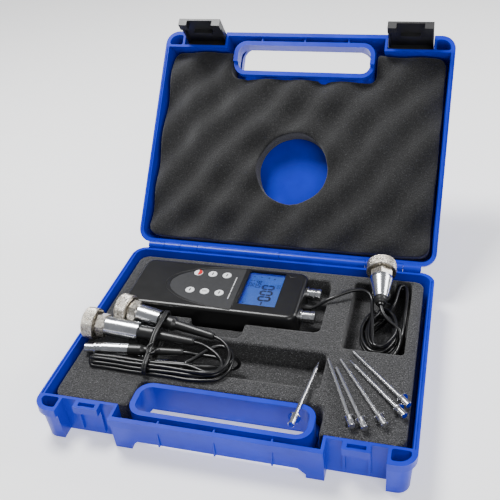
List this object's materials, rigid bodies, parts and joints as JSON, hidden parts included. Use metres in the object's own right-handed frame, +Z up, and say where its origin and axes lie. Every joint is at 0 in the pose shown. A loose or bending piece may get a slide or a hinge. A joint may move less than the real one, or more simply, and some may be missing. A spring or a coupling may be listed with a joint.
{
  "type": "soil moisture meter kit in carrying case",
  "caption": "Handheld moisture meter with keys and display, cabled sensor heads and needle probes, in a hinged carrying case with foam tray, latches and handle.",
  "frame": {"origin": "centre of the case base underside, on the floor", "axes": "+X to the right along the hinge, +Y back towards the hinge, +Z up; the lid rests open"},
  "size_m": [0.3, 0.4101, 0.2256],
  "materials": {
    "case_plastic": "moulded, semi-gloss, fine grain outside",
    "latch_plastic": "moulded, satin",
    "foam": "open-cell charcoal foam, speckled",
    "steel": "plain drawn",
    "needle_steel": "polished",
    "handset_plastic": "satin moulded",
    "overlay": "fine matte film",
    "key_white": "smooth",
    "window": "clear hard-coated",
    "display": "backlit blue",
    "board": "solder mask",
    "battery_wrap": "printed film, no text",
    "nickel": "knurled and machined, warm satin",
    "chrome": "polished with lathe lines",
    "insulator": "turned",
    "boot_rubber": "smooth, slightly dull",
    "lead": "glossy soft jacket",
    "tie": "coated wire"
  },
  "bodies": {
    "base": {"base_foam": "foam", "batteries": "battery_wrap", "battery_door": "handset_plastic", "battery_springs": "steel", "buzzer": "handset_plastic", "case_base": "case_plastic", "coil_tie": "tie", "handset_front_shell": "handset_plastic", "handset_rear_shell": "handset_plastic", "handset_screws": "steel", "hank_tie": "tie", "head_1_barrel": "chrome", "head_1_boot": "boot_rubber", "head_1_collar": "nickel", "head_1_insert": "insulator", "head_1_ring": "nickel", "head_2_barrel": "chrome", "head_2_boot": "boot_rubber", "head_2_collar": "nickel", "head_2_insert": "insulator", "head_2_ring": "nickel", "head_3_barrel": "chrome", "head_3_boot": "boot_rubber", "head_3_collar": "nickel", "head_3_insert": "insulator", "head_3_ring": "nickel", "hinge_rods": "steel", "key_domes": "steel", "keypad_overlay": "overlay", "lcd_module": "display", "lcd_window": "window", "lead_a_coil": "lead", "lead_a_run": "lead", "lead_a_tail": "lead", "lead_b_run": "lead", "lead_b_tail": "lead", "lead_c_run": "lead", "lead_c_tail": "lead", "lead_hank": "lead", "lead_relief": "boot_rubber", "main_board": "board", "needle_probes": "needle_steel", "needle_washers": "needle_steel", "plug_a_boot": "boot_rubber", "plug_a_shell": "chrome", "plug_b_boot": "boot_rubber", "plug_b_shell": "chrome", "socket_front": "chrome", "socket_nuts": "steel", "socket_rear": "chrome"},
    "lid": {"case_lid": "case_plastic", "lid_foam": "foam"},
    "latch_left": {"latch_left": "latch_plastic"},
    "latch_right": {"latch_right": "latch_plastic"},
    "key_1": {"key_1": "key_white"},
    "key_2": {"key_2": "key_white"},
    "key_3": {"key_3": "key_white"},
    "key_4": {"key_4": "key_white"},
    "key_5": {"key_5": "key_white"},
    "key_6": {"key_6": "key_white"}
  },
  "joints": [
    {"name": "lid_hinge", "type": "hinge", "parent": "base", "child": "lid", "pos_m": [0, 0.117, 0.0365], "axis": [1, 0, 0], "range_deg": [0, 133]},
    {"name": "latch_left_pivot", "type": "hinge", "parent": "lid", "child": "latch_left", "pos_m": [-0.1065, 0.27744, 0.19023], "axis": [1, 0, 0], "range_deg": [-78, 8]},
    {"name": "latch_right_pivot", "type": "hinge", "parent": "lid", "child": "latch_right", "pos_m": [0.1065, 0.27744, 0.19023], "axis": [1, 0, 0], "range_deg": [-78, 8]},
    {"name": "key_1_press", "type": "slide", "parent": "base", "child": "key_1", "axis": [0, 0, -1], "range_m": [0, 0.0004], "stiffness_N_per_m": 900, "springref_m": -0.0003},
    {"name": "key_2_press", "type": "slide", "parent": "base", "child": "key_2", "axis": [0, 0, -1], "range_m": [0, 0.0004], "stiffness_N_per_m": 900, "springref_m": -0.0003},
    {"name": "key_3_press", "type": "slide", "parent": "base", "child": "key_3", "axis": [0, 0, -1], "range_m": [0, 0.0004], "stiffness_N_per_m": 900, "springref_m": -0.0003},
    {"name": "key_4_press", "type": "slide", "parent": "base", "child": "key_4", "axis": [0, 0, -1], "range_m": [0, 0.0004], "stiffness_N_per_m": 900, "springref_m": -0.0003},
    {"name": "key_5_press", "type": "slide", "parent": "base", "child": "key_5", "axis": [0, 0, -1], "range_m": [0, 0.0004], "stiffness_N_per_m": 900, "springref_m": -0.0003},
    {"name": "key_6_press", "type": "slide", "parent": "base", "child": "key_6", "axis": [0, 0, -1], "range_m": [0, 0.0004], "stiffness_N_per_m": 900, "springref_m": -0.0003}
  ]
}
